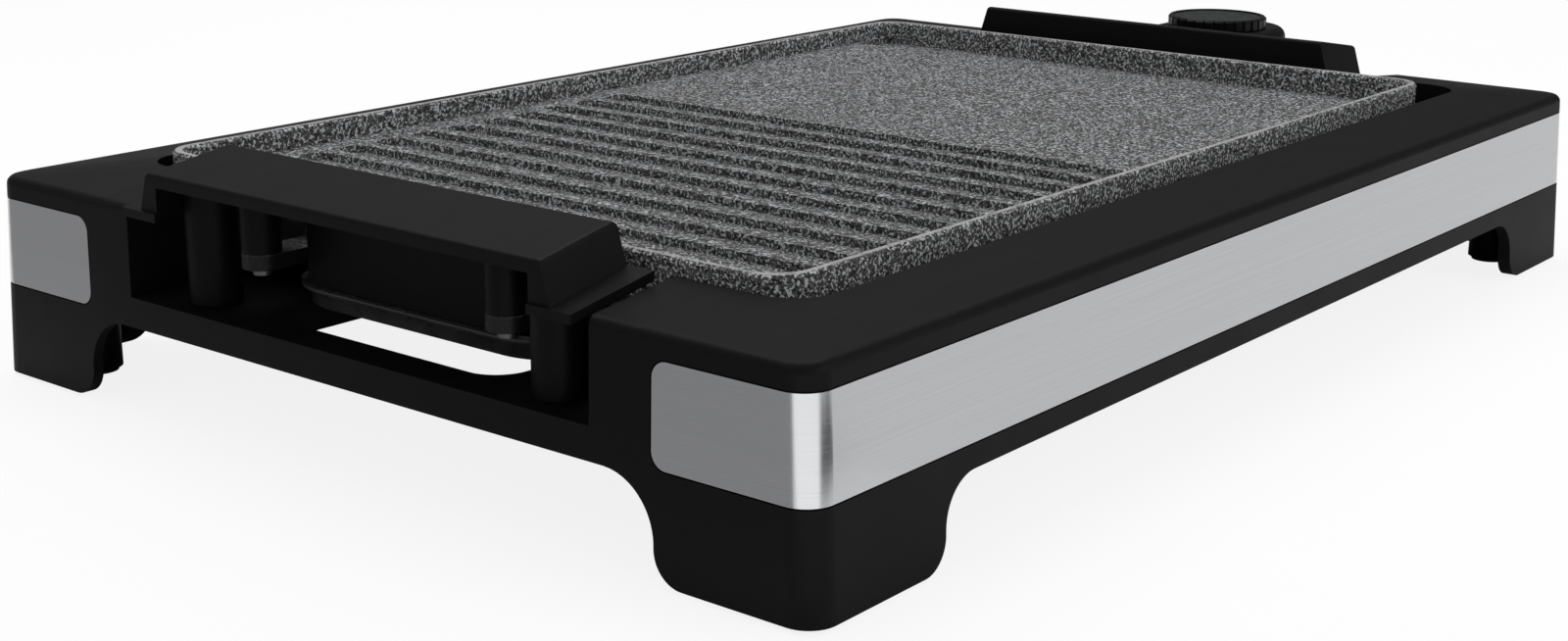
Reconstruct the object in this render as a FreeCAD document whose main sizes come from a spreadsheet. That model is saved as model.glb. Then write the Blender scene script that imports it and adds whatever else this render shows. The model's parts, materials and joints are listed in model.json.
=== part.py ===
import FreeCAD, Part

import math
import os
import re

import Sketcher
from FreeCAD import Placement, Rotation, Vector

# Electric grill: a plastic base with a lift-off cast griddle plate, two end handles,
# a drip tray that slides out under the near handle and a plug-in thermostat.
# Millimetres. X runs along the grill, from the tray end (-X) to the thermostat end (+X).
# The origin is on the table, under the centre of the base. +Z is up.

SIZES = dict(
    # Base housing
    end_margin=37,
    side_margin=32.5,
    base_corner=9,
    side_draft=0.0535,
    end_draft=0.024,
    foot_gap=1.5,
    edge_height=70.9,
    ridge_rise=3.4,
    top_edge_round=3,
    shell_wall=3,
    well_gap_near=2,
    well_gap_far=20,
    well_gap_side=7.7,
    well_corner=14,
    sill_height=40.5,
    notch_gap=1,
    notch_flare=2.3,
    end_arch_height=30.4,
    end_foot_width=52,
    side_arch_height=26.2,
    side_foot_width=57.5,
    foot_toe_round=10,
    sill_depth=13.3,
    tray_ledge=13,
    floor_hole_corner=12,
    foot_inset_x=22,
    foot_inset_y=20,
    foot_boss_diameter=17,
    # Steel bands
    band_below_edge=7.4,
    band_height=29.8,
    band_thickness=0.8,
    band_gap=0.5,
    band_end=125,
    band_end_corner=5,
    # Rubber feet
    pad_diameter=14,
    pad_thickness=3,
    # Heat shield and its posts
    shield_inset_x=17,
    shield_inset_y=19.8,
    shield_corner=16,
    shield_sheet=0.8,
    shield_flange=9,
    shield_gap=2,
    shield_drain_gap=9,
    shield_plug_gap=4,
    post_diameter=9,
    post_inset_x=35,
    post_inset_y=18,
    # Drip tray and its guides
    tray_length=200,
    tray_leg_gap=2.1,
    tray_corner=28,
    tray_front_inset=26.5,
    tray_depth=6.7,
    tray_lift=0.8,
    tray_wall=1.2,
    tray_lip=3,
    tray_lip_thickness=1.2,
    guide_gap=0.6,
    guide_wall=2,
    guide_height=5,
    guide_length=150,
    guide_inset=24,
    # Griddle plate
    plate_length=424,
    plate_width=275.6,
    plate_corner=12,
    element_room=15,
    plate_thickness=6.5,
    rim_depth=7.5,
    rim_width=3.4,
    rim_bevel=0.9,
    groove_pitch=17.6,
    groove_width=12,
    groove_depth=2.5,
    groove_first=11.2,
    groove_end=12.4,
    groove_count=11,
    gutter_width=26,
    gutter_depth=2.8,
    drain_length=8,
    drain_width=22,
    drain_inset=8,
    spout_wall=2,
    spout_drop=7,
    # Heating element under the plate
    tube_diameter=8,
    element_seat=1.8,
    element_seat_width=12,
    contact_gap=0.1,
    element_inset_x=42,
    element_inset_y=42,
    element_turn=22,
    clamp_x=110,
    clamp_length=24,
    clamp_width=12,
    clamp_sheet=1.2,
    clamp_boss=9,
    clamp_reach=11,
    # Plug connection at the plate's thermostat end
    pin_spacing=26,
    pin_diameter=4,
    pin_length=24,
    insulator_diameter=7,
    insulator_length=4,
    shroud_length=30,
    shroud_sheet=1,
    shroud_back=13,
    probe_boss_width=11,
    probe_boss_end=6,
    # Handles
    handle_gap=9,
    handle_depth=32,
    roof_rise=10.3,
    roof_slope=0.168,
    roof_thickness=4,
    roof_half=85,
    skirt_flare=6,
    handle_wall=2.6,
    flange_wing=8.4,
    flange_drop=12.2,
    flange_thickness=2.9,
    flange_depth=33,
    leg_diameter=17,
    leg_setback=15,
    leg_inset=7.4,
    leg_gap=0.3,
    boss_diameter=12.8,
    boss_setback=13.4,
    boss_inset=30,
    boss_length=28.9,
    panel_side_gap=2.6,
    panel_tray_gap=1,
    panel_thickness=2.6,
    panel_step=8,
    lug_width=12.8,
    lug_thickness=5,
    lug_root=14,
    window_side_gap=3.5,
    window_top_gap=1.5,
    # Screws
    screw_diameter=3.4,
    screw_head=6.4,
    screw_head_height=2.2,
    screw_length=9,
    screw_clearance=0.3,
    handle_screw_grip=8,
    # Thermostat
    nose_setback=12,
    nose_wall=4,
    nose_rise=11,
    stat_setback=46,
    stat_length=56,
    stat_half=28,
    stat_below_plug=14.1,
    stat_split_rise=1.9,
    stat_height=35.6,
    stat_end_round=22,
    stat_edge_round=5,
    stat_wall=2.4,
    plug_width=39,
    plug_side_gap=2.5,
    plug_play=0.5,
    plug_setback=12,
    plug_length=40,
    sleeve_diameter=6.4,
    sleeve_length=24,
    pin_fit=0.08,
    probe_diameter=6,
    probe_reach=74,
    probe_end_gap=12,
    probe_tail=2,
    switch_length=36,
    switch_width=30,
    switch_height=12,
    spring_sheet=0.6,
    bush_diameter=9,
    gland_diameter=11,
    gland_bore=7,
    gland_length=8,
    stat_screw_half=17,
    # Dial
    dial_setback=23,
    dial_diameter=46,
    dial_height=4.7,
    dial_gap=0.5,
    dial_rim=2.4,
    dial_recess=1.2,
    dial_hub=13,
    dial_edge_bevel=0.8,
    dial_grip_count=30,
    dial_grip_width=1.6,
    dial_grip_depth=0.7,
    shaft_diameter=6,
    shaft_fit=0.05,
)

# Places and lengths that follow from the sizes, from the table up and the plate outwards
PLACES = dict(
    TRAY_BOTTOM="sill_height + tray_lift",
    TRAY_RIM="TRAY_BOTTOM + tray_depth",
    SHIELD_LEVEL="TRAY_RIM + shield_gap",
    UNDERSIDE="SHIELD_LEVEL + element_room",
    COOK_LEVEL="UNDERSIDE + plate_thickness",
    RIM_LEVEL="COOK_LEVEL + rim_depth",
    ROOF_LEVEL="RIM_LEVEL + roof_rise",
    RIDGE_LEVEL="edge_height + ridge_rise",
    CAVITY_TOP="edge_height - shell_wall",
    BAND_HIGH="edge_height - band_below_edge",
    BAND_LOW="BAND_HIGH - band_height",
    BAND_MIDDLE="(BAND_LOW + BAND_HIGH) / 2",
    WELL_LENGTH="plate_length + well_gap_near + well_gap_far",
    WELL_WIDTH="plate_width + 2 * well_gap_side",
    BASE_LENGTH="WELL_LENGTH + 2 * end_margin",
    BASE_WIDTH="WELL_WIDTH + 2 * side_margin",
    HALF_LENGTH="BASE_LENGTH / 2",
    HALF_WIDTH="BASE_WIDTH / 2",
    HOLE_LENGTH="BASE_LENGTH - 2 * sill_depth",
    HOLE_WIDTH="TRAY_WIDTH - 2 * tray_ledge",
    PLATE_SHIFT="(well_gap_far - well_gap_near) / 2",
    PLATE_END="plate_length / 2",
    DRAIN_X="-PLATE_SHIFT - PLATE_END + rim_width + drain_inset",
    GROOVE_LENGTH="plate_width - 2 * rim_width - 2 * groove_end",
    SHIELD_LENGTH="plate_length - 2 * shield_inset_x",
    SHIELD_WIDTH="plate_width - 2 * shield_inset_y",
    POST_X="SHIELD_LENGTH / 2 - post_inset_x",
    POST_Y="SHIELD_WIDTH / 2 - post_inset_y",
    SEAT_LEVEL="UNDERSIDE - element_seat",
    TUBE_BOTTOM="SEAT_LEVEL - contact_gap - tube_diameter",
    PLUG_LEVEL="TUBE_BOTTOM + tube_diameter / 2",
    LOOP_X="PLATE_END - element_inset_x",
    LOOP_Y="plate_width / 2 - element_inset_y",
    SHROUD_START="PLATE_END - PLATE_SHIFT - shroud_back",
    SHROUD_HEIGHT="2 * (UNDERSIDE - PLUG_LEVEL)",
    SHROUD_WIDTH="plug_width + 2 * (plug_side_gap + shroud_sheet)",
    PIN_HALF="pin_spacing / 2",
    HANDLE_INNER="PLATE_END + handle_gap",
    HANDLE_OUTER="HANDLE_INNER + handle_depth",
    SKIRT_HALF="roof_half + skirt_flare",
    FLANGE_HALF="SKIRT_HALF + flange_wing",
    LEG_REACH="HANDLE_INNER + leg_setback",
    LEG_HALF="roof_half - leg_inset",
    BOSS_REACH="HANDLE_INNER + boss_setback",
    BOSS_HALF="roof_half - boss_inset",
    BOSS_BOTTOM="ROOF_LEVEL - boss_length",
    LUG_BOTTOM="BOSS_BOTTOM - lug_thickness",
    PANEL_HALF="BOSS_HALF - boss_diameter / 2 - panel_side_gap",
    PANEL_BOTTOM="TRAY_RIM + panel_tray_gap",
    NOTCH_IN="FLANGE_HALF + notch_gap",
    NOTCH_OUT="NOTCH_IN + notch_flare",
    TRAY_WIDTH="2 * (LEG_HALF - leg_diameter / 2 - tray_leg_gap)",
    TRAY_MIDDLE="tray_length / 2 - HALF_LENGTH + tray_front_inset",
    NOSE_START="HANDLE_INNER - PLATE_SHIFT + nose_setback",
    NOSE_HALF="plug_width / 2 + nose_wall",
    STAT_START="HANDLE_INNER - PLATE_SHIFT + stat_setback",
    STAT_END="STAT_START + stat_length",
    STAT_LOW="PLUG_LEVEL - stat_below_plug",
    STAT_SPLIT="PLUG_LEVEL + stat_split_rise",
    STAT_HIGH="STAT_LOW + stat_height",
    NOSE_TOP="STAT_SPLIT + nose_rise",
    PLUG_START="SHROUD_START + plug_setback",
    PLUG_HEIGHT="SHROUD_HEIGHT - 2 * (shroud_sheet + plug_play)",
    PROBE_START="SHROUD_START - probe_reach",
    SHAFT_LOW="STAT_LOW + stat_wall + switch_height",
    HUB_LOW="STAT_HIGH - stat_wall",
    DIAL_X="STAT_START + dial_setback",
    DIAL_FOOT="STAT_HIGH + dial_gap",
    DIAL_TOP="DIAL_FOOT + dial_height",
)

doc = FreeCAD.newDocument("ElectricGrill")
sheet = doc.addObject("Spreadsheet::Sheet", "Sizes")
for row, (alias, number) in enumerate(SIZES.items(), 1):
    sheet.set(f"A{row}", alias)
    sheet.set(f"B{row}", str(number))
    sheet.setAlias(f"B{row}", alias)
doc.recompute()

KEPT = []


def named(expression):
    """The expression with its places worked out and the sheet's name put before each alias."""
    def spell(word):
        name = word.group()
        if name in PLACES:
            return f"({named(PLACES[name])})"
        return f"Sizes.{name}" if name in SIZES else name

    return re.sub(r"[A-Za-z]\w+", spell, expression)


def size(expression):
    """The number that an expression of sizes has now."""
    return float(sheet.evalExpression(named(expression)))


def bind(thing, place, expression):
    thing.setExpression(place, named(expression))


def at(thing, x="0", y="0", z="0"):
    """Bind where a piece stands."""
    for axis, expression in zip("xyz", (x, y, z)):
        bind(thing, f".Placement.Base.{axis}", expression)
    return thing


def keep(thing):
    """Mark a finished sub-part, which is written under its label."""
    KEPT.append(thing)
    return thing


# Sketches and features

def new_body(label):
    body = doc.addObject("PartDesign::Body", label)
    body.Label = label
    return body


def new_sketch(body, name, role="XY_Plane", offset="0", x="0"):
    """A sketch on one of the body's own planes, moved along its normal and its own X."""
    sketch = body.newObject("Sketcher::SketchObject", f"{body.Name}_{name}")
    plane = next(item for item in body.Origin.OriginFeatures if item.Role == role)
    sketch.AttachmentSupport = [(plane, "")]
    sketch.MapMode = "FlatFace"
    bind(sketch, ".AttachmentOffset.Base.z", offset)
    bind(sketch, ".AttachmentOffset.Base.x", x)
    return sketch


def dimension(sketch, kind, where, expression):
    """Add one driving dimension and bind it to the sizes."""
    number = sketch.addConstraint(Sketcher.Constraint(kind, *where, size(expression)))
    name = f"size{number}"
    sketch.renameConstraint(number, name)
    bind(sketch, f"Constraints.{name}", expression)


def locate(sketch, element, point, x, y):
    """Fix a point of the sketch from the sketch's origin."""
    for kind, axis, expression in (("DistanceX", -2, x), ("DistanceY", -1, y)):
        if abs(size(expression)) < 1e-9:
            sketch.addConstraint(Sketcher.Constraint("PointOnObject", element, point, axis))
        else:
            dimension(sketch, kind, (-1, 1, element, point), expression)


def outline(sketch, corners):
    """A closed outline through corners (x, y) or, where one is rounded, (x, y, radius)."""
    points = [Vector(size(corner[0]), size(corner[1]), 0) for corner in corners]
    starts, ends, arcs = [], [], []
    for index, corner in enumerate(corners):
        here = points[index]
        if len(corner) < 3:
            starts.append(here)
            ends.append(here)
            arcs.append(None)
            continue
        back = (points[index - 1] - here).normalize()
        ahead = (points[(index + 1) % len(points)] - here).normalize()
        half = back.getAngle(ahead) / 2
        radius = size(corner[2])
        centre = here + (back + ahead).normalize() * (radius / math.sin(half))
        first = here + back * (radius / math.tan(half))
        last = here + ahead * (radius / math.tan(half))
        left_turn = back.cross(ahead).z < 0
        low, high = (first, last) if left_turn else (last, first)
        angles = [math.atan2(point.y - centre.y, point.x - centre.x) for point in (low, high)]
        circle = Part.Circle(centre, Vector(0, 0, 1), radius)
        starts.append(first)
        ends.append(last)
        arcs.append((Part.ArcOfCircle(circle, *angles), left_turn))
    lines = []
    for index, end in enumerate(ends):
        following = starts[(index + 1) % len(starts)]
        lines.append(sketch.addGeometry(Part.LineSegment(end, following), False))
    for index, corner in enumerate(corners):
        before, after = lines[index - 1], lines[index]
        if arcs[index] is None:
            sketch.addConstraint(Sketcher.Constraint("Coincident", before, 2, after, 1))
            locate(sketch, after, 1, corner[0], corner[1])
            continue
        arc, left_turn = arcs[index]
        bend = sketch.addGeometry(arc, False)
        mark = sketch.addGeometry(Part.Point(points[index]), True)
        first, last = (1, 2) if left_turn else (2, 1)
        sketch.addConstraint(Sketcher.Constraint("Tangent", before, 2, bend, first))
        sketch.addConstraint(Sketcher.Constraint("Tangent", bend, last, after, 1))
        sketch.addConstraint(Sketcher.Constraint("PointOnObject", mark, 1, before))
        sketch.addConstraint(Sketcher.Constraint("PointOnObject", mark, 1, after))
        dimension(sketch, "Radius", (bend,), corner[2])
        locate(sketch, mark, 1, corner[0], corner[1])
    return sketch


def rectangle(sketch, length, width, radius=None, x="0", y="0"):
    """A rectangle about (x, y), with rounded corners where a radius is given."""
    corners = [(f"{x} {a} ({length}) / 2", f"{y} {b} ({width}) / 2")
               for a, b in (("-", "-"), ("+", "-"), ("+", "+"), ("-", "+"))]
    if radius:
        corners = [corner + (radius,) for corner in corners]
    return outline(sketch, corners)


def circle(sketch, diameter, x="0", y="0"):
    """A circle whose centre is fixed from the sketch's origin."""
    centre = Vector(size(x), size(y), 0)
    ring = sketch.addGeometry(Part.Circle(centre, Vector(0, 0, 1), size(diameter) / 2), False)
    dimension(sketch, "Diameter", (ring,), diameter)
    if abs(size(x)) + abs(size(y)) < 1e-9:
        sketch.addConstraint(Sketcher.Constraint("Coincident", ring, 3, -1, 1))
    else:
        locate(sketch, ring, 3, x, y)
    return sketch


def pad(body, sketch, length, down=False, both=False):
    feature = body.newObject("PartDesign::Pad", f"{sketch.Name}_pad")
    feature.Profile = sketch
    feature.Reversed = down
    feature.Midplane = both
    bind(feature, "Length", length)
    return feature


def pocket(body, sketch, length, up=False, both=False):
    """Cut away, downwards from the sketch unless told otherwise, and see that it cuts."""
    doc.recompute()
    before = body.Shape.Volume
    feature = body.newObject("PartDesign::Pocket", f"{sketch.Name}_cut")
    feature.Profile = sketch
    feature.Reversed = up
    feature.Midplane = both
    bind(feature, "Length", length)
    doc.recompute()
    if feature.Shape.Volume >= before:
        raise RuntimeError(f"{feature.Name} cuts nothing")
    return feature


def loft(body, sketches, cut=False):
    kind = "PartDesign::SubtractiveLoft" if cut else "PartDesign::AdditiveLoft"
    feature = body.newObject(kind, f"{sketches[0].Name}_loft")
    feature.Profile = sketches[0]
    feature.Sections = sketches[1:]
    feature.Ruled = True
    return feature


def round_edges(body, radius, chosen, name):
    """Fillet the edges of the body's last feature that a test picks out."""
    doc.recompute()
    base = body.Tip
    names = [f"Edge{number}" for number, edge in enumerate(base.Shape.Edges, 1) if chosen(edge)]
    feature = body.newObject("PartDesign::Fillet", f"{body.Name}_{name}")
    feature.Base = (base, names)
    bind(feature, "Radius", radius)
    doc.recompute()
    return feature


def bevel_edges(body, depth, chosen, name):
    """Bevel the edges of the body's last feature that a test picks out."""
    doc.recompute()
    base = body.Tip
    names = [f"Edge{number}" for number, edge in enumerate(base.Shape.Edges, 1) if chosen(edge)]
    feature = body.newObject("PartDesign::Chamfer", f"{body.Name}_{name}")
    feature.Base = (base, names)
    bind(feature, "Size", depth)
    doc.recompute()
    return feature


def level(edge, height, near=0.01):
    """Whether an edge lies flat at a height."""
    return all(abs(vertex.Z - size(height)) < near for vertex in edge.Vertexes)


# Plain pieces

def cylinder(name, diameter, length, x="0", y="0", z="0", way=None):
    thing = doc.addObject("Part::Cylinder", name)
    if way:
        thing.Placement = Placement(Vector(), way[0])
    bind(thing, "Radius", f"({diameter}) / 2")
    bind(thing, "Height", length)
    return at(thing, x, y, z)


def cut(name, base, tool):
    thing = doc.addObject("Part::Cut", name)
    thing.Base = base
    thing.Tool = tool
    thing.Label = name
    return thing


def fuse(name, *things):
    thing = doc.addObject("Part::MultiFuse", name)
    thing.Shapes = list(things)
    thing.Label = name
    return thing


def group(name, things):
    """Separate solids that share one node."""
    thing = doc.addObject("Part::Compound", name)
    thing.Links = list(things)
    thing.Label = name
    return thing


# Ways that a round piece can point: its turn, its axis and which way its back end lies
UP = (Rotation(), "z", "-")
DOWN = (Rotation(Vector(1, 0, 0), 180), "z", "+")
TOWARDS_X = (Rotation(Vector(0, 1, 0), 90), "x", "-")
AWAY_FROM_X = (Rotation(Vector(0, 1, 0), -90), "x", "+")


def screw(name, x, y, z, way, length="screw_length"):
    """A pan-head screw. The point given is under its head, and its shank points that way."""
    shank = cylinder(f"{name}_shank", "screw_diameter", length, x, y, z, way)
    axis, back = way[1:]
    place = dict(x=x, y=y, z=z)
    place[axis] = f"{place[axis]} {back} screw_head_height"
    head = cylinder(f"{name}_head", "screw_head", "screw_head_height", way=way, **place)
    return fuse(name, shank, head)


def tube(name, outer, inner, length, x="0", y="0", z="0", way=None):
    """A plain round tube."""
    skin = cylinder(f"{name}_outside", outer, length, x, y, z, way)
    bore = cylinder(f"{name}_bore", inner, length, x, y, z, way)
    return cut(name, skin, bore)


# Base housing

def wall_size(length, draft, height, inset="0"):
    """A drafted outside length at a height, less an inset on both sides."""
    return f"{length} + 2 * {draft} * (BAND_MIDDLE - ({height})) - 2 * ({inset})"


def base_section(body, name, height, inset="0"):
    """The housing's outline at a height, which grows towards the feet."""
    sketch = new_sketch(body, name, offset=height)
    return rectangle(sketch, wall_size("BASE_LENGTH", "end_draft", height, inset),
                     wall_size("BASE_WIDTH", "side_draft", height, inset),
                     f"base_corner - ({inset}) / 2")


def band_ring(label, low, high, inner):
    """A drafted ring round the housing between two heights, as deep as a steel band."""
    body = new_body(label)
    loft(body, [base_section(body, "low", low), base_section(body, "high", high)])
    loft(body, [base_section(body, "low_inside", low, inner),
                base_section(body, "high_inside", high, inner)], cut=True)
    return body


def band_side(name, side, low, high, spare):
    """The block that keeps one side's part of a band ring, with round ends on the end faces."""
    body = new_body(name)
    edge = f"{side} * (band_end - ({spare}))"
    far = f"{side} * BASE_WIDTH"
    sketch = new_sketch(body, "end", "YZ_Plane")
    outline(sketch, [(edge, low, f"band_end_corner + ({spare})"), (far, low), (far, high),
                     (edge, high, f"band_end_corner + ({spare})")])
    pad(body, sketch, "2 * BASE_LENGTH", both=True)
    return body


def common(name, first, second):
    thing = doc.addObject("Part::Common", name)
    thing.Base = first
    thing.Tool = second
    thing.Label = name
    return thing


def steel_band(label, side):
    ring = band_ring(f"{label}_ring", "BAND_LOW", "BAND_HIGH", "band_thickness")
    block = band_side(f"{label}_block", side, "BAND_LOW", "BAND_HIGH", "0")
    return keep(common(label, ring, block))


def band_recess(name, side):
    """The shallow recess that a steel band lies in, with a thin gap all round it."""
    low, high = "BAND_LOW - band_gap", "BAND_HIGH + band_gap"
    ring = band_ring(f"{name}_ring", low, high, "band_thickness")
    block = band_side(f"{name}_block", side, low, high, "band_gap")
    return common(name, ring, block)


def deep_cavity(body, side):
    """The hollow between the outer wall and the well's wall, open from below."""
    outer_x = "(HALF_LENGTH - shell_wall)"
    outer_y = f"{side} * (HALF_WIDTH - shell_wall - side_draft * (edge_height - BAND_MIDDLE))"
    inner_x = "(WELL_LENGTH / 2 + shell_wall)"
    inner_y = f"{side} * (WELL_WIDTH / 2 + shell_wall)"
    stop_y = f"{side} * (NOTCH_OUT + shell_wall)"
    sketch = new_sketch(body, f"cavity{'Near' if side < 0 else 'Far'}")
    outline(sketch, [(f"-{outer_x}", stop_y), (f"-{outer_x}", outer_y, "base_corner / 2"),
                     (outer_x, outer_y, "base_corner / 2"), (outer_x, stop_y),
                     (inner_x, stop_y), (inner_x, inner_y),
                     (f"-{inner_x}", inner_y), (f"-{inner_x}", stop_y)])
    pocket(body, sketch, "CAVITY_TOP", up=True)


def arch(body, name, role, width, height, depth):
    """The opening between two feet, flared out at their toes and round at its top corners."""
    corner = f"{height} - foot_gap - foot_toe_round - 0.4"
    half = f"({width}) / 2"
    toe = f"({width}) / 2 + foot_toe_round + 1"
    below = "foot_gap - 4"
    corners = []
    for sign in ("-", ""):
        side = [(f"{sign}({toe})", below), (f"{sign}({toe})", "foot_gap"),
                (f"{sign}({half})", "foot_gap", "foot_toe_round"),
                (f"{sign}({half})", height, corner)]
        corners += side if sign else side[::-1]
    sketch = outline(new_sketch(body, name, role), corners)
    pocket(body, sketch, depth, both=True)


def base_housing():
    body = new_body("base_shell")
    loft(body, [base_section(body, "foot", "foot_gap"), base_section(body, "edge", "edge_height")])
    ridge = rectangle(new_sketch(body, "ridge", offset="RIDGE_LEVEL"),
                      "WELL_LENGTH", "WELL_WIDTH", "well_corner")
    loft(body, [base_section(body, "shoulder", "edge_height"), ridge])
    round_edges(body, "top_edge_round", lambda edge: level(edge, "edge_height"), "top_round")

    well = rectangle(new_sketch(body, "well", offset="RIDGE_LEVEL"),
                     "WELL_LENGTH", "WELL_WIDTH", "well_corner")
    pocket(body, well, "RIDGE_LEVEL - sill_height")
    for end, sign in (("tray_end", -1), ("plug_end", 1)):
        out = f"{sign} * (HALF_LENGTH + 4)"
        inside = f"{sign} * (WELL_LENGTH / 2 - 2)"
        notch = new_sketch(body, f"notch_{end}", offset="RIDGE_LEVEL")
        outline(notch, [(out, "-NOTCH_OUT"), (inside, "-NOTCH_IN"),
                        (inside, "NOTCH_IN"), (out, "NOTCH_OUT")])
        pocket(body, notch, "RIDGE_LEVEL - sill_height")

    hole = rectangle(new_sketch(body, "floor_hole", offset="sill_height"),
                     "HOLE_LENGTH", "HOLE_WIDTH", "floor_hole_corner")
    pocket(body, hole, "sill_height")
    underside = new_sketch(body, "underside")
    rectangle(underside, "BASE_LENGTH - 2 * shell_wall",
              "BASE_WIDTH - 2 * shell_wall", "base_corner - shell_wall / 2")
    rectangle(underside, "HOLE_LENGTH + 2 * shell_wall",
              "HOLE_WIDTH + 2 * shell_wall", "floor_hole_corner + shell_wall")
    pocket(body, underside, "sill_height - shell_wall", up=True)
    for side in (-1, 1):
        deep_cavity(body, side)

    arch(body, "end_arch", "YZ_Plane", "BASE_WIDTH - 2 * end_foot_width", "end_arch_height",
         "BASE_LENGTH + 40")
    arch(body, "side_arch", "XZ_Plane", "BASE_LENGTH - 2 * side_foot_width", "side_arch_height",
         "BASE_WIDTH + 40")

    bosses = new_sketch(body, "foot_bosses", offset="foot_gap")
    pads = new_sketch(body, "pad_seats", offset="foot_gap")
    for x in ("-", ""):
        for y in ("-", ""):
            place = (f"{x}(HALF_LENGTH - foot_inset_x)", f"{y}(HALF_WIDTH - foot_inset_y)")
            circle(bosses, "foot_boss_diameter", *place)
            circle(pads, "pad_diameter + 0.4", *place)
    pad(body, bosses, "CAVITY_TOP - foot_gap + 1")
    pocket(body, pads, "pad_thickness - foot_gap", up=True)

    posts = new_sketch(body, "posts", offset="sill_height - 1")
    pilots = new_sketch(body, "pilots", offset="SHIELD_LEVEL")
    for x in ("-", ""):
        for y in ("-", ""):
            circle(posts, "post_diameter", f"{x}POST_X - PLATE_SHIFT", f"{y}POST_Y")
            circle(pilots, "screw_diameter + screw_clearance / 3",
                   f"{x}POST_X - PLATE_SHIFT", f"{y}POST_Y")
    pad(body, posts, "SHIELD_LEVEL - sill_height + 1")
    pocket(body, pilots, "screw_length")

    guides = new_sketch(body, "guides", offset="sill_height - 1")
    for side in (-1, 1):
        rectangle(guides, "guide_length", "guide_wall",
                  x="(guide_length - WELL_LENGTH) / 2 + guide_inset",
                  y=f"{side} * (TRAY_WIDTH / 2 + guide_gap + guide_wall / 2)")
    pad(body, guides, "guide_height + 1")

    recesses = fuse("band_recesses", band_recess("recess_near", -1), band_recess("recess_far", 1))
    return keep(cut("base_housing", body, recesses))


def foot_pads():
    pads = []
    for x in ("-", ""):
        for y in ("-", ""):
            pads.append(cylinder(f"pad{len(pads)}", "pad_diameter", "pad_thickness",
                                 f"{x}(HALF_LENGTH - foot_inset_x)",
                                 f"{y}(HALF_WIDTH - foot_inset_y)"))
    return keep(group("foot_pads", pads))


# Heat shield

def heat_shield():
    """A folded steel dish between the element and the drip tray, with a hole for the drain."""
    body = new_body("heat_shield")
    block = new_sketch(body, "block", offset="SHIELD_LEVEL")
    rectangle(block, "SHIELD_LENGTH", "SHIELD_WIDTH", "shield_corner", x="-PLATE_SHIFT")
    pad(body, block, "shield_flange")
    inside = new_sketch(body, "inside", offset="SHIELD_LEVEL + shield_flange")
    rectangle(inside, "SHIELD_LENGTH - 2 * shield_sheet", "SHIELD_WIDTH - 2 * shield_sheet",
              "shield_corner - shield_sheet", x="-PLATE_SHIFT")
    pocket(body, inside, "shield_flange - shield_sheet")
    holes = new_sketch(body, "holes", offset="SHIELD_LEVEL + shield_flange")
    for x in ("-", ""):
        for y in ("-", ""):
            circle(holes, "screw_diameter + screw_clearance",
                   f"{x}POST_X - PLATE_SHIFT", f"{y}POST_Y")
    around_spout = "2 * (spout_wall + shield_drain_gap)"
    rectangle(holes, f"drain_length + {around_spout}", f"drain_width + {around_spout}", "3",
              x="DRAIN_X")
    pocket(body, holes, "2 * shield_flange")
    way = new_sketch(body, "plug_way", offset="SHIELD_LEVEL + shield_flange")
    rectangle(way, "4 * shield_flange", "pin_spacing + element_seat_width + 2 * shield_plug_gap",
              "2", x="SHIELD_LENGTH / 2 - PLATE_SHIFT")
    pocket(body, way, "shield_flange - shield_sheet")
    return keep(body)


def shield_screws():
    screws = []
    for x in ("-", ""):
        for y in ("-", ""):
            screws.append(screw(f"shield_screw{len(screws)}", f"{x}POST_X - PLATE_SHIFT",
                                f"{y}POST_Y", "SHIELD_LEVEL + shield_sheet", DOWN,
                                "screw_length - 1"))
    return keep(group("shield_screws", screws))


# Drip tray

def drip_tray():
    """A pressed tray with a turned-out rim and round front corners."""
    body = new_body("drip_tray")
    floor = new_sketch(body, "floor", offset="TRAY_BOTTOM")
    rectangle(floor, "tray_length - 2 * tray_lip", "TRAY_WIDTH - 2 * tray_lip",
              "tray_corner - tray_lip", x="TRAY_MIDDLE")
    pad(body, floor, "TRAY_RIM - TRAY_BOTTOM")
    rim = new_sketch(body, "rim", offset="TRAY_RIM")
    rectangle(rim, "tray_length", "TRAY_WIDTH", "tray_corner", x="TRAY_MIDDLE")
    pad(body, rim, "tray_lip_thickness", down=True)
    hollow = new_sketch(body, "hollow", offset="TRAY_RIM")
    rectangle(hollow, "tray_length - 2 * tray_lip - 2 * tray_wall",
              "TRAY_WIDTH - 2 * tray_lip - 2 * tray_wall", "tray_corner - tray_lip - tray_wall",
              x="TRAY_MIDDLE")
    pocket(body, hollow, "TRAY_RIM - TRAY_BOTTOM - tray_wall")
    return keep(body)


# Griddle plate

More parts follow.
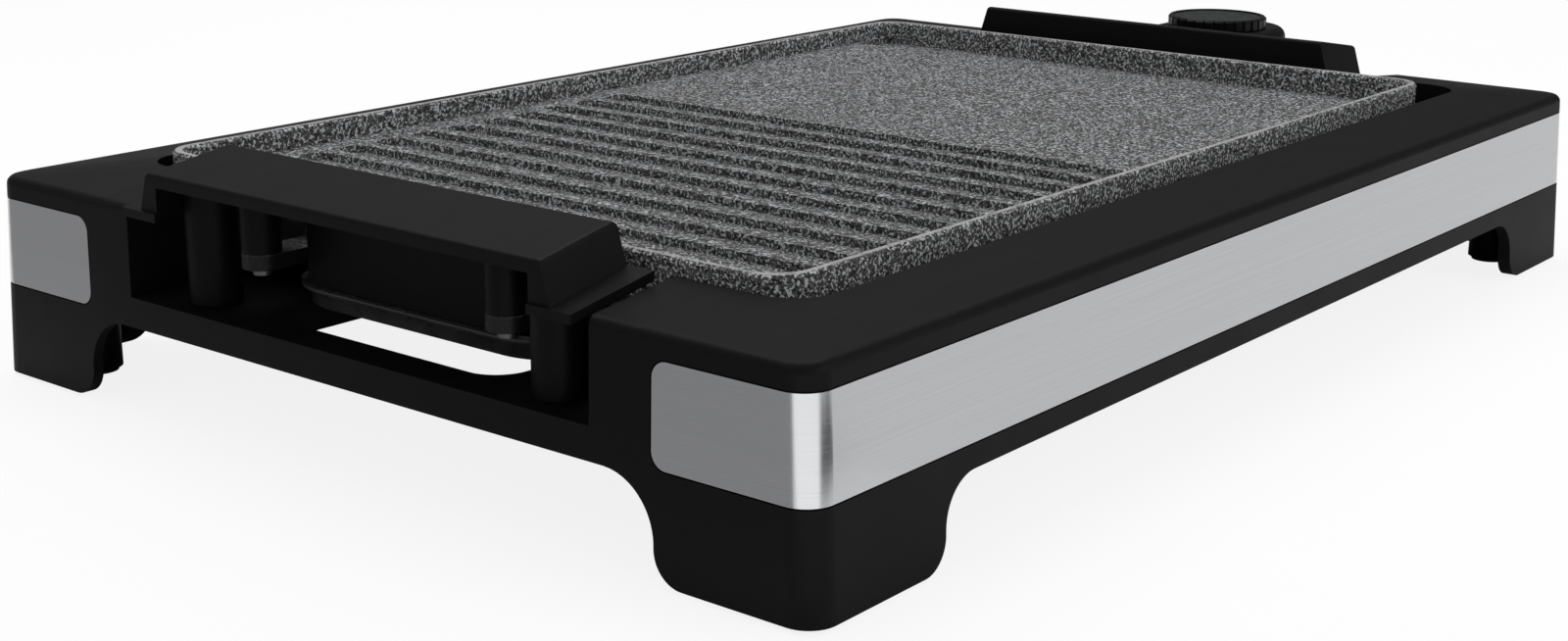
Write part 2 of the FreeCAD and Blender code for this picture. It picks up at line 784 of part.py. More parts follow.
def griddle_plate():
    """Cast plate: ribbed half, smooth half, end gutter, drain spout, bosses and handle lugs."""
    body = new_body("griddle_plate")
    block = new_sketch(body, "block", offset="UNDERSIDE")
    rectangle(block, "plate_length", "plate_width", "plate_corner", x="-PLATE_SHIFT")
    pad(body, block, "RIM_LEVEL - UNDERSIDE")
    inside = new_sketch(body, "inside", offset="RIM_LEVEL")
    rectangle(inside, "plate_length - 2 * rim_width", "plate_width - 2 * rim_width",
              "plate_corner - rim_width / 2", x="-PLATE_SHIFT")
    pocket(body, inside, "RIM_LEVEL - COOK_LEVEL")
    bevel_edges(body, "rim_bevel", lambda edge: level(edge, "RIM_LEVEL"), "rim")

    gutter = new_sketch(body, "gutter", offset="COOK_LEVEL")
    rectangle(gutter, "gutter_width", "plate_width - 2 * rim_width - 1", "4",
              x="PLATE_END - PLATE_SHIFT - rim_width - 0.5 - gutter_width / 2")
    pocket(body, gutter, "gutter_depth")

    groove = new_sketch(body, "groove", offset="COOK_LEVEL")
    rectangle(groove, "groove_width", "GROOVE_LENGTH", "groove_width / 2 - 0.2",
              x="-groove_first")
    first = pocket(body, groove, "groove_depth")
    row = body.newObject("PartDesign::LinearPattern", "groove_row")
    row.Originals = [first]
    row.Direction = (groove, ["H_Axis"])
    row.Reversed = True
    bind(row, "Length", "groove_pitch * (groove_count - 1)")
    bind(row, "Occurrences", "groove_count")
    body.Tip = row
    doc.recompute()

    spout = new_sketch(body, "spout", offset="UNDERSIDE - spout_drop")
    rectangle(spout, "drain_length + 2 * spout_wall", "drain_width + 2 * spout_wall",
              "drain_length / 2 + spout_wall - 0.2", x="DRAIN_X")
    pad(body, spout, "spout_drop + 1")
    drain = new_sketch(body, "drain", offset="RIM_LEVEL")
    rectangle(drain, "drain_length", "drain_width", "drain_length / 2 - 0.2", x="DRAIN_X")
    pocket(body, drain, "RIM_LEVEL - UNDERSIDE + spout_drop + 1")

    bosses = new_sketch(body, "clamp_bosses", offset="TUBE_BOTTOM")
    holes = new_sketch(body, "clamp_holes", offset="TUBE_BOTTOM")
    for x in ("-", ""):
        for y in ("-", ""):
            place = clamp_screw_place(x, y)
            circle(bosses, "clamp_boss", *place)
            circle(holes, "screw_diameter + screw_clearance / 3", *place)
    pad(body, bosses, "UNDERSIDE + 1 - (TUBE_BOTTOM)")
    pocket(body, holes, "screw_length", up=True)

    seat = new_sketch(body, "element_seat", offset="SEAT_LEVEL")
    for sign in ("+", "-"):
        rectangle(seat, f"2 * LOOP_X {sign} element_seat_width",
                  f"2 * LOOP_Y {sign} element_seat_width",
                  f"element_turn {sign} element_seat_width / 2", x="-PLATE_SHIFT")
    pad(body, seat, "element_seat + 1")
    ends = new_sketch(body, "terminal_seats", offset="SEAT_LEVEL")
    seat_length = "(SHROUD_START - LOOP_X + PLATE_SHIFT)"
    for side in (-1, 1):
        rectangle(ends, seat_length, "element_seat_width",
                  x=f"SHROUD_START - {seat_length} / 2 - 0.5", y=f"{side} * PIN_HALF")
    pad(body, ends, "element_seat + 1")

    probe = new_sketch(body, "probe_boss", "YZ_Plane", "SHROUD_START")
    probe_low, probe_high = "PLUG_LEVEL - probe_boss_width / 2", "UNDERSIDE + 1"
    rectangle(probe, "probe_boss_width", f"{probe_high} - ({probe_low})",
              y=f"({probe_high} + {probe_low}) / 2")
    pad(body, probe, "probe_reach + probe_end_gap + probe_boss_end", down=True)
    bore = new_sketch(body, "probe_bore", "YZ_Plane", "SHROUD_START")
    circle(bore, "probe_diameter + 2 * pin_fit", y="PLUG_LEVEL")
    pocket(body, bore, "probe_reach + probe_end_gap")

    roots = new_sketch(body, "lug_roots", offset="LUG_BOTTOM")
    lugs = new_sketch(body, "lugs", offset="LUG_BOTTOM")
    holes = new_sketch(body, "lug_holes", offset="LUG_BOTTOM")
    for end in (-1, 1):
        for side in (-1, 1):
            y = f"{side} * BOSS_HALF"
            tip = "BOSS_REACH + lug_width / 2"
            root = "PLATE_END - lug_root"
            rectangle(roots, "lug_root", "lug_width", "1", y=y,
                      x=f"{end} * (PLATE_END - lug_root / 2) - PLATE_SHIFT")
            rectangle(lugs, f"{tip} - ({root})", "lug_width", "lug_width / 2 - 0.2", y=y,
                      x=f"{end} * (({tip} + {root}) / 2) - PLATE_SHIFT")
            circle(holes, "screw_diameter + screw_clearance",
                   f"{end} * BOSS_REACH - PLATE_SHIFT", y)
    pad(body, roots, "UNDERSIDE - (LUG_BOTTOM) + 1")
    pad(body, lugs, "lug_thickness")
    pocket(body, holes, "2 * lug_thickness", up=True)
    return keep(body)


def clamp_screw_place(x, y):
    """Where a clamp's screw enters the plate, beside the element's long run."""
    return f"{x}clamp_x - PLATE_SHIFT", f"{y}(LOOP_Y - clamp_reach)"


# Heating element

def heating_element():
    """A round tube in one loop under the plate, whose two ends point at the plug."""
    body = new_body("heating_element")
    spine = new_sketch(body, "spine", offset="PLUG_LEVEL")
    near_x, far_x = "-PLATE_SHIFT - LOOP_X", "-PLATE_SHIFT + LOOP_X"
    tip = "SHROUD_START + shroud_sheet"
    open_path(spine, [(tip, "-PIN_HALF"), (far_x, "-PIN_HALF"), (far_x, "-LOOP_Y"),
                      (near_x, "-LOOP_Y"), (near_x, "LOOP_Y"), (far_x, "LOOP_Y"),
                      (far_x, "PIN_HALF"), (tip, "PIN_HALF")], "element_turn")
    section = new_sketch(body, "section", "YZ_Plane", tip)
    circle(section, "tube_diameter", x="-PIN_HALF", y="PLUG_LEVEL")
    doc.recompute()
    pipe = body.newObject("PartDesign::AdditivePipe", "element_pipe")
    pipe.Profile = section
    pipe.Spine = spine
    pipe.Transition = "Transformed"
    return keep(body)


def open_path(sketch, corners, radius):
    """An open run of lines through corners, joined by arcs of one radius."""
    points = [Vector(size(x), size(y), 0) for x, y in corners]
    reach = size(radius)
    inner = range(1, len(points) - 1)
    tangents = {}
    for index in inner:
        back = (points[index - 1] - points[index]).normalize()
        ahead = (points[index + 1] - points[index]).normalize()
        tangents[index] = (points[index] + back * reach, points[index] + ahead * reach,
                           points[index] + (back + ahead) * reach, back.cross(ahead).z < 0)
    lines = []
    for index in range(len(points) - 1):
        start = tangents[index][1] if index in tangents else points[index]
        end = tangents[index + 1][0] if index + 1 in tangents else points[index + 1]
        lines.append(sketch.addGeometry(Part.LineSegment(start, end), False))
    for index in inner:
        first, last, centre, left_turn = tangents[index]
        low, high = (first, last) if left_turn else (last, first)
        angles = [math.atan2(point.y - centre.y, point.x - centre.x) for point in (low, high)]
        arc = Part.ArcOfCircle(Part.Circle(centre, Vector(0, 0, 1), reach), *angles)
        bend = sketch.addGeometry(arc, False)
        mark = sketch.addGeometry(Part.Point(points[index]), True)
        ends = (1, 2) if left_turn else (2, 1)
        before, after = lines[index - 1], lines[index]
        sketch.addConstraint(Sketcher.Constraint("Tangent", before, 2, bend, ends[0]))
        sketch.addConstraint(Sketcher.Constraint("Tangent", bend, ends[1], after, 1))
        sketch.addConstraint(Sketcher.Constraint("PointOnObject", mark, 1, before))
        sketch.addConstraint(Sketcher.Constraint("PointOnObject", mark, 1, after))
        dimension(sketch, "Radius", (bend,), radius)
        locate(sketch, mark, 1, *corners[index])
    locate(sketch, lines[0], 1, *corners[0])
    locate(sketch, lines[-1], 2, *corners[-1])


def element_clamps():
    """Four flat bars that hold the element's long runs against the plate."""
    clamps, screws = [], []
    for x in ("-", ""):
        for y in ("-", ""):
            body = new_body(f"clamp{len(clamps)}")
            bar = new_sketch(body, "bar", offset="TUBE_BOTTOM - clamp_sheet")
            rectangle(bar, "clamp_width", "clamp_length", "2", x=f"{x}clamp_x - PLATE_SHIFT",
                      y=f"{y}(LOOP_Y - clamp_length / 2 + tube_diameter)")
            pad(body, bar, "clamp_sheet")
            place = clamp_screw_place(x, y)
            hole = circle(new_sketch(body, "hole", offset="TUBE_BOTTOM"),
                          "screw_diameter + screw_clearance", *place)
            pocket(body, hole, "2 * clamp_sheet")
            clamps.append(body)
            screws.append(screw(f"clamp_screw{len(screws)}", *place,
                                "TUBE_BOTTOM - clamp_sheet", UP))
    keep(group("element_clamps", clamps))
    keep(group("clamp_screws", screws))


# Plug connection

def terminals():
    pins, insulators = [], []
    start = "SHROUD_START + shroud_sheet + insulator_length"
    for side in (-1, 1):
        y = f"{side} * PIN_HALF"
        pins.append(cylinder(f"pin{len(pins)}", "pin_diameter", "pin_length",
                             start, y, "PLUG_LEVEL", TOWARDS_X))
        insulators.append(cylinder(f"insulator{len(insulators)}", "insulator_diameter",
                                   "insulator_length", "SHROUD_START + shroud_sheet", y,
                                   "PLUG_LEVEL", TOWARDS_X))
    keep(group("terminal_pins", pins))
    keep(group("terminal_insulators", insulators))


def socket_shroud():
    """A folded guard round the pins, open towards the thermostat."""
    body = new_body("socket_shroud")
    outside = rectangle(new_sketch(body, "outside", "YZ_Plane", "SHROUD_START"),
                        "SHROUD_WIDTH", "SHROUD_HEIGHT", "1.5", y="PLUG_LEVEL")
    pad(body, outside, "shroud_length")
    inside = rectangle(new_sketch(body, "inside", "YZ_Plane", "SHROUD_START + shroud_length"),
                       "SHROUD_WIDTH - 2 * shroud_sheet", "SHROUD_HEIGHT - 2 * shroud_sheet",
                       "0.8", y="PLUG_LEVEL")
    pocket(body, inside, "shroud_length - shroud_sheet")
    back = new_sketch(body, "back", "YZ_Plane", "SHROUD_START + shroud_length")
    for side in (-1, 1):
        circle(back, "tube_diameter + 2 * contact_gap", f"{side} * PIN_HALF", "PLUG_LEVEL")
    circle(back, "probe_diameter + 1", y="PLUG_LEVEL")
    pocket(body, back, "2 * shroud_length")
    return keep(body)


# Handles

def handle(label, side):
    """One handle: a sloping shell open outwards, flanges, legs, screw bosses and a rear panel.

    Distances run outwards from the plate's centre, towards -X where side is -1.
    """
    def out(distance):
        return f"{side} * ({distance}) - PLATE_SHIFT"

    def roof(distance, below="0"):
        return f"ROOF_LEVEL - roof_slope * ({distance} - HANDLE_INNER) - ({below})"

    def inside_roof(distance):
        return roof(distance, "roof_thickness / 2 + roof_slope * leg_diameter / 2")

    body = new_body(f"{label}_shell")
    profile = new_sketch(body, "profile", "XZ_Plane")
    outline(profile, [(out("HANDLE_INNER"), roof("HANDLE_INNER")),
                      (out("HANDLE_OUTER"), roof("HANDLE_OUTER")),
                      (out("HANDLE_OUTER"), roof("HANDLE_OUTER", "flange_drop")),
                      (out("HANDLE_INNER"), roof("HANDLE_INNER", "flange_drop"))])
    pad(body, profile, "2 * SKIRT_HALF", both=True)
    slants = new_sketch(body, "slants", "YZ_Plane", out("HANDLE_OUTER + 1"))
    low = "(ROOF_LEVEL - roof_slope * handle_depth - flange_drop)"
    for sign in ("-", ""):
        outline(slants, [(f"{sign}(SKIRT_HALF + 0.01)", f"{low} - 1"),
                         (f"{sign}(roof_half)", "ROOF_LEVEL + 1"),
                         (f"{sign}(SKIRT_HALF + 9)", "ROOF_LEVEL + 1"),
                         (f"{sign}(SKIRT_HALF + 9)", f"{low} - 1")])
    pocket(body, slants, "2 * handle_depth", up=side < 0)
    round_edges(body, "1.6", lambda edge: is_roof_edge(edge, side), "roof_round")

    hollow = new_sketch(body, "hollow", "XZ_Plane")
    rear = "HANDLE_INNER + handle_wall"
    outline(hollow, [(out(rear), roof(rear, "roof_thickness")),
                     (out("HANDLE_OUTER + 4"), roof("HANDLE_OUTER + 4", "roof_thickness")),
                     (out("HANDLE_OUTER + 4"), roof("HANDLE_OUTER + 4", "flange_drop + 4")),
                     (out(rear), roof(rear, "flange_drop + 4"))])
    pocket(body, hollow, "2 * (roof_half - handle_wall)", both=True)

    flange = new_sketch(body, "flange", "XZ_Plane")
    tip = "(HANDLE_INNER + flange_depth)"
    outline(flange, [(out("HANDLE_INNER"), roof("HANDLE_INNER", "flange_drop")),
                     (out(tip), roof(tip, "flange_drop")),
                     (out(tip), roof(tip, "flange_drop + flange_thickness")),
                     (out("HANDLE_INNER"), roof("HANDLE_INNER", "flange_drop + flange_thickness"))])
    pad(body, flange, "2 * FLANGE_HALF", both=True)
    opening = new_sketch(body, "opening", "XZ_Plane")
    outline(opening, [(out(rear), roof(rear, "flange_drop - 1")),
                      (out("HANDLE_OUTER + 6"), roof("HANDLE_OUTER + 6", "flange_drop - 1")),
                      (out("HANDLE_OUTER + 6"), roof("HANDLE_OUTER + 6", "flange_drop + 8")),
                      (out(rear), roof(rear, "flange_drop + 8"))])
    pocket(body, opening, "2 * (roof_half - handle_wall)", both=True)

    panel = new_sketch(body, "panel", "YZ_Plane", out("HANDLE_INNER"))
    step = roof("HANDLE_INNER", "flange_drop + 4")
    outline(panel, [("-PANEL_HALF", "PANEL_BOTTOM"), ("PANEL_HALF", "PANEL_BOTTOM"), ("PANEL_HALF", step),
                    ("PANEL_HALF + panel_step", step), ("PANEL_HALF + panel_step", "ROOF_LEVEL - 6"),
                    ("-PANEL_HALF - panel_step", "ROOF_LEVEL - 6"),
                    ("-PANEL_HALF - panel_step", step), ("-PANEL_HALF", step)])
    pad(body, panel, "panel_thickness", down=side < 0)
    if side > 0:
        window = new_sketch(body, "window", "YZ_Plane", out("HANDLE_INNER"))
        half, top = "(NOSE_HALF + window_side_gap)", "NOSE_TOP + window_top_gap"
        outline(window, [(f"-{half}", "PANEL_BOTTOM - 2"), (half, "PANEL_BOTTOM - 2"),
                         (half, top, "3"), (f"-{half}", top, "3")])
        pocket(body, window, "4 * panel_thickness", both=True)

    posts = []
    for sign in ("-", ""):
        leg_foot = "sill_height + leg_gap"
        posts.append(cylinder(f"{label}_leg{len(posts)}", "leg_diameter",
                              f"{inside_roof('LEG_REACH')} - ({leg_foot})",
                              out("LEG_REACH"), f"{sign}LEG_HALF", leg_foot))
        posts.append(tube(f"{label}_boss{len(posts)}", "boss_diameter",
                          "screw_diameter + screw_clearance / 3",
                          f"{inside_roof('BOSS_REACH')} - (BOSS_BOTTOM)",
                          out("BOSS_REACH"), f"{sign}BOSS_HALF", "BOSS_BOTTOM"))
    return keep(fuse(label, body, *posts))


def is_roof_edge(edge, side):
    """Whether an edge bounds the top face of a handle's roof."""
    slope = size("roof_slope")
    for vertex in edge.Vertexes:
        distance = (vertex.X + size("PLATE_SHIFT")) * side
        height = size("ROOF_LEVEL") - slope * (distance - size("HANDLE_INNER"))
        if abs(vertex.Z - height) > 0.01:
            return False
    return True


def handle_screws():
    screws = []
    for end in (-1, 1):
        for sign in ("-", ""):
            screws.append(screw(f"handle_screw{len(screws)}", f"{end} * BOSS_REACH - PLATE_SHIFT",
                                f"{sign}BOSS_HALF", "LUG_BOTTOM", UP,
                                "lug_thickness + handle_screw_grip"))
    return keep(group("handle_screws", screws))


# Thermostat

def stat_outline(sketch, inset="0"):
    """The thermostat's body seen from above."""
    start, end = f"STAT_START + ({inset})", f"STAT_END - ({inset})"
    half = f"(stat_half - ({inset}))"
    outline(sketch, [(start, f"-{half}"), (end, f"-{half}", f"stat_end_round - ({inset})"),
                     (end, half, f"stat_end_round - ({inset})"), (start, half)])
    return sketch


def nose_block(sketch, inset="0", overlap="0"):
    """The narrow neck that reaches through the handle."""
    start, end = f"NOSE_START + ({inset})", f"STAT_START + ({overlap})"
    half = f"(NOSE_HALF - ({inset}))"
    return outline(sketch, [(start, f"-{half}"), (end, f"-{half}"), (end, half), (start, half)])


def thermostat_shells():
    lower = new_body("thermostat_lower_shell")
    pad(lower, stat_outline(new_sketch(lower, "body", offset="STAT_LOW")), "STAT_SPLIT - STAT_LOW")
    pad(lower, nose_block(new_sketch(lower, "nose", offset="STAT_LOW"), overlap="1"),
        "STAT_SPLIT - STAT_LOW")
    round_edges(lower, "2", lambda edge: level(edge, "STAT_LOW"), "low_round")
    pocket(lower, stat_outline(new_sketch(lower, "inside", offset="STAT_SPLIT"), "stat_wall"),
           "STAT_SPLIT - STAT_LOW - stat_wall")
    pocket(lower, nose_block(new_sketch(lower, "neck", offset="STAT_SPLIT"), "stat_wall",
                             "stat_wall + 0.5"), "STAT_SPLIT - STAT_LOW - stat_wall")
    mouth = rectangle(new_sketch(lower, "mouth", offset="STAT_SPLIT"),
                      "6 * stat_wall", "plug_width + 0.2", x="NOSE_START")
    pocket(lower, mouth, "STAT_SPLIT - PLUG_LEVEL + PLUG_HEIGHT / 2 + 0.1")
    gland = circle(new_sketch(lower, "gland", "YZ_Plane", "STAT_END + 1"),
                   "gland_diameter + 0.1", y="(STAT_LOW + STAT_SPLIT) / 2")
    pocket(lower, gland, "stat_wall + 3")
    posts = new_sketch(lower, "posts", offset="STAT_LOW + stat_wall - 1")
    holes = new_sketch(lower, "holes", offset="STAT_SPLIT")
    for sign in ("-", ""):
        circle(posts, "screw_head + 2", "DIAL_X", f"{sign}(stat_screw_half + 4)")
        circle(holes, "screw_diameter + 0.1", "DIAL_X", f"{sign}(stat_screw_half + 4)")
    pad(lower, posts, "STAT_SPLIT - STAT_LOW - stat_wall + 1")
    pocket(lower, holes, "STAT_SPLIT")
    keep(lower)

    upper = new_body("thermostat_upper_shell")
    pad(upper, stat_outline(new_sketch(upper, "body", offset="STAT_SPLIT")),
        "STAT_HIGH - STAT_SPLIT")
    round_edges(upper, "stat_edge_round", lambda edge: level(edge, "STAT_HIGH"), "high_round")
    pad(upper, nose_block(new_sketch(upper, "nose", offset="STAT_SPLIT"), overlap="1"),
        "NOSE_TOP - STAT_SPLIT")
    pocket(upper, stat_outline(new_sketch(upper, "inside", offset="STAT_SPLIT"), "stat_wall"),
           "STAT_HIGH - STAT_SPLIT - stat_wall", up=True)
    pocket(upper, nose_block(new_sketch(upper, "neck", offset="STAT_SPLIT"), "stat_wall",
                             "stat_wall + 0.5"), "NOSE_TOP - STAT_SPLIT - stat_wall", up=True)
    mouth = rectangle(new_sketch(upper, "mouth", offset="STAT_SPLIT"),
                      "6 * stat_wall", "plug_width + 0.2", x="NOSE_START")
    pocket(upper, mouth, "PLUG_LEVEL + PLUG_HEIGHT / 2 + 0.1 - STAT_SPLIT", up=True)
    hole = circle(new_sketch(upper, "hole", offset="STAT_HIGH + 1"), "dial_hub + 1", x="DIAL_X")
    pocket(upper, hole, "3 * stat_wall")
    posts = new_sketch(upper, "posts", offset="STAT_SPLIT")
    holes = new_sketch(upper, "holes", offset="STAT_SPLIT")
    for sign in ("-", ""):
        circle(posts, "screw_head + 2", "DIAL_X", f"{sign}(stat_screw_half + 4)")
        circle(holes, "screw_diameter + 0.1", "DIAL_X", f"{sign}(stat_screw_half + 4)")
    pad(upper, posts, "STAT_HIGH - STAT_SPLIT - stat_wall + 0.5")
    pocket(upper, holes, "screw_length / 2", up=True)
    keep(upper)

    screws = [screw(f"stat_screw{index}", "DIAL_X", f"{sign}(stat_screw_half + 4)", "STAT_LOW",
                    UP, "STAT_SPLIT - STAT_LOW + screw_length / 2 - 0.5")
              for index, sign in enumerate(("-", ""))]
    keep(group("thermostat_screws", screws))


def plug_block():
    """The insulating block that carries the contact sleeves and the probe."""
    body = new_body("contact_block")
    block = rectangle(new_sketch(body, "block", "YZ_Plane", "PLUG_START"),
                      "plug_width", "PLUG_HEIGHT", "1.5", y="PLUG_LEVEL")
    pad(body, block, "plug_length")
    bores = new_sketch(body, "bores", "YZ_Plane", "PLUG_START + plug_length")
    for side in (-1, 1):
        circle(bores, "sleeve_diameter + 0.06", f"{side} * PIN_HALF", "PLUG_LEVEL")
    circle(bores, "probe_diameter + 0.06", y="PLUG_LEVEL")
    pocket(body, bores, "2 * plug_length")
    keep(body)
    sleeves = [tube(f"sleeve{index}", "sleeve_diameter", "pin_diameter + 2 * pin_fit",
                    "sleeve_length", "PLUG_START", f"{side} * PIN_HALF", "PLUG_LEVEL", TOWARDS_X)
               for index, side in enumerate((-1, 1))]
    keep(group("contact_sleeves", sleeves))
    probe = new_body("probe_rod")
    rod = circle(new_sketch(probe, "rod", "YZ_Plane", "PROBE_START"), "probe_diameter",
                 y="PLUG_LEVEL")
    pad(probe, rod, "PLUG_START + plug_length + probe_tail - (PROBE_START)")
    round_edges(probe, "probe_diameter / 2 - 0.4",
                lambda edge: abs(edge.BoundBox.XMax - size("PROBE_START")) < 0.01, "tip")
    keep(probe)


def switch_parts():
    """The switch under the dial: its base, its contact spring and the bush of the shaft."""
    base = new_body("switch_base")
    block = rectangle(new_sketch(base, "block", offset="STAT_LOW + stat_wall"),
                      "switch_length", "switch_width", "2", x="DIAL_X")
    pad(base, block, "switch_height")
    keep(base)

    spring = new_body("contact_spring")
    strip = new_sketch(spring, "strip", "XZ_Plane")
    left, right = "DIAL_X - switch_length / 2 + 2", "DIAL_X - bush_diameter / 2 - 1.5"
    outline(strip, [(left, "SHAFT_LOW"), (f"{left} + 5", "SHAFT_LOW"), (f"{left} + 7", "SHAFT_LOW + 3"),
                    (right, "SHAFT_LOW + 3"), (right, "SHAFT_LOW + 3 + spring_sheet"),
                    (f"{left} + 6.6", "SHAFT_LOW + 3 + spring_sheet"),
                    (f"{left} + 4.6", "SHAFT_LOW + spring_sheet"), (left, "SHAFT_LOW + spring_sheet")])
    pad(spring, strip, "switch_width / 4", both=True)
    keep(spring)

    keep(tube("shaft_bush", "bush_diameter", "shaft_diameter + 2 * shaft_fit",
              "STAT_HIGH - stat_wall - 0.4 - SHAFT_LOW", "DIAL_X", "0", "SHAFT_LOW"))
    keep(tube("cable_gland", "gland_diameter", "gland_bore", "gland_length",
              "STAT_END - gland_length + 0.8", "0", "(STAT_LOW + STAT_SPLIT) / 2", TOWARDS_X))


# Dial

def dial():
    """The knob, the disc let into its top, and the shaft that it turns."""
    knob = new_body("dial_knob")

    def ring(name, height, diameter):
        return circle(new_sketch(knob, name, offset=height, x="DIAL_X"), diameter)

    pad(knob, ring("disc", "DIAL_FOOT", "dial_diameter"), "dial_height")
    bevel_edges(knob, "dial_edge_bevel", lambda edge: level(edge, "DIAL_TOP"), "edge")
    grip = new_sketch(knob, "grip", offset="DIAL_FOOT", x="DIAL_X")
    outside = "dial_diameter / 2 + dial_grip_depth"
    outline(grip, [(outside, "-dial_grip_width"), (outside, "dial_grip_width"),
                   ("dial_diameter / 2 - dial_grip_depth", "0")])
    first = pocket(knob, grip, "dial_height", up=True)
    row = knob.newObject("PartDesign::PolarPattern", "grip_ring")
    row.Originals = [first]
    row.Axis = (grip, ["N_Axis"])
    row.Angle = 360
    bind(row, "Occurrences", "dial_grip_count")
    knob.Tip = row
    doc.recompute()
    pad(knob, ring("hub", "HUB_LOW", "dial_hub"), "DIAL_FOOT + 1 - HUB_LOW")
    pocket(knob, ring("recess", "DIAL_TOP", "dial_diameter - 2 * dial_rim"), "dial_recess")
    shaft_top = "DIAL_TOP - dial_recess - 1"
    pocket(knob, ring("bore", "HUB_LOW", "shaft_diameter + 0.06"),
           f"{shaft_top} + 0.1 - HUB_LOW", up=True)
    keep(knob)
    keep(named_as("dial_face", cylinder("dial_face", "dial_diameter - 2 * dial_rim - 0.2",
                                        "dial_recess - 0.4", "DIAL_X", "0",
                                        "DIAL_TOP - dial_recess")))
    keep(named_as("dial_shaft", cylinder("dial_shaft", "shaft_diameter",
                                         f"{shaft_top} - SHAFT_LOW - 0.3", "DIAL_X", "0",
                                         "SHAFT_LOW + 0.3")))


def named_as(label, thing):
    thing.Label = label
    return thing


# The whole grill

base_housing()
steel_band("steel_band_front", -1)
steel_band("steel_band_rear", 1)
foot_pads()
heat_shield()
shield_screws()
drip_tray()
griddle_plate()
heating_element()
element_clamps()
terminals()
socket_shroud()
handle("handle_tray_end", -1)
handle("handle_plug_end", 1)
handle_screws()
thermostat_shells()
plug_block()
switch_parts()
dial()
doc.recompute()

for thing in doc.Objects:
    if {"Invalid", "Error"} & set(thing.State):
        raise RuntimeError(f"{thing.Name} is {thing.State}")
for piece in KEPT:
    if piece.Shape.isNull() or not piece.Shape.isValid():
        raise RuntimeError(f"{piece.Label} has no valid shape")

os.makedirs("parts", exist_ok=True)
for piece in KEPT:
    piece.Shape.exportStep(f"parts/{piece.Label}.step")
    print(piece.Label, len(piece.Shape.Solids), round(piece.Shape.Volume))
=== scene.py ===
import json
import math

import bpy
from mathutils import Matrix, Vector


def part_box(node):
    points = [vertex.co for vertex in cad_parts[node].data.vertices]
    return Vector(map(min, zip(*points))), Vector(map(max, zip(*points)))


# Looks of the electric grill: stone-coated plate, black mouldings, brushed-steel bands.
# Metres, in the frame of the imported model. Angles in the constants and tables are degrees.

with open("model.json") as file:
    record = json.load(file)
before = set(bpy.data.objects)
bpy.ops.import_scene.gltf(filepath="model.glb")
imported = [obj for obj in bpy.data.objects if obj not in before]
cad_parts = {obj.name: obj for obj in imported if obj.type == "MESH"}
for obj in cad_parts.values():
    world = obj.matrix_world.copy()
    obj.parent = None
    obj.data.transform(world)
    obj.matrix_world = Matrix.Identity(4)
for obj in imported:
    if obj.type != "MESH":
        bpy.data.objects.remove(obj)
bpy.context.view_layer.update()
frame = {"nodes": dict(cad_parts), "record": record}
NODES = frame["nodes"]

# Camera: angles and place fitted to the straight edges of the base in the 1600 x 654 photo
CAMERA_AZIMUTH = -51.32
CAMERA_ELEVATION = 15.77
CAMERA_ROLL = 0.364
CAMERA_PLACE = (-0.66186, -0.49098, 0.22739)
CAMERA_LENS = 50.12
CAMERA_NEAR = 0.01
SENSOR_WIDTH = 36.0

# Most of a noise texture's values lie in this range
NOISE_RANGE = (0.3, 0.7)

# Plastics: texture scales as repeats per metre, then how tones and roughness wander
FINE_GRAIN = 2600
COARSE_GRAIN = 160
SMUDGE = 14
DUST = 700
GRAIN_STRENGTH = 0.5
KNOB_GRAIN_STRENGTH = 0.25
SMUDGE_TONE = 1.06
DUST_TONE = 2.2
DUST_AMOUNT = 0.25
DUST_EDGE = (0.045, 0.02)

# Brushed steel: scratches per metre along and across them
BRUSH_ALONG = 7
BRUSH_ACROSS = 2400
BRUSH_TONE = 0.93

# Stone coating: scales as repeats per metre, tones, and where one tone gives way to the next
STONE_GRAIN = 820
STONE_SPOT = 640
STONE_FLAKE = 1000
STONE_DARK, STONE_MIDDLE = 0.012, 0.09
STONE_SPOT_TONE = 0.018
STONE_FLAKE_COLOUR = (0.47, 0.48, 0.495)
STONE_GRAIN_EDGE = (0.42, 0.58)
STONE_SPOT_EDGE = (0.34, 0.2)
STONE_FLAKE_EDGE = (0.54, 0.585)
# Grey of the painted highlight laid in patches on the rim's flat top
RIM_HIGHLIGHT_TONE = 0.42
BELOW_LUG_TOP_TONE = 0.004

# Height under which the cast plate is plain and dark
LUG_TOP = 0.0604

# Stage: the floor's size, the share of it that glows for the camera, and the world's grey
FLOOR_SIZE = 12
FLOOR_GLOW = 0.86
WORLD_SHADE = 0.55

# Turns of the cards: lying, facing down, upright along the grill and upright across it
LYING, FACING_DOWN = (0, 0, 0), (180, 0, 0)
UPRIGHT_ALONG, UPRIGHT_ACROSS = (90, 0, 0), (90, 0, 90)

# Cards: name, size, centre, turn, grey
CARDS = (
    ("ceiling_card", 16, (0, 0, 3), FACING_DOWN, 0.3),
    ("far_card", 16, (0, 6, 3), UPRIGHT_ALONG, 0.27),
    ("right_card", 16, (6, 0, 3), UPRIGHT_ACROSS, 0.14),
    ("near_card", 16, (0, -6, 3), UPRIGHT_ALONG, 0.3),
    ("left_card", 16, (-6, 0, 3), UPRIGHT_ACROSS, 0.3),
    ("end_flag", 1.4, (-1.4, 0.9, 0.4), UPRIGHT_ACROSS, 0.33),
    ("floor_flag", 1.3, (-0.95, 0.48, 0.002), LYING, 0.33),
    ("right_floor_card", 3.4, (1.56, -1.91, 0.003), LYING, 0.8),
    ("corner_glint", 0.7, (-0.62, -0.54, 0.004), LYING, 1.35),
    ("corner_shade", 0.14, (-0.18, -0.36, 0.004), (0, 0, 20), 0.02),
)

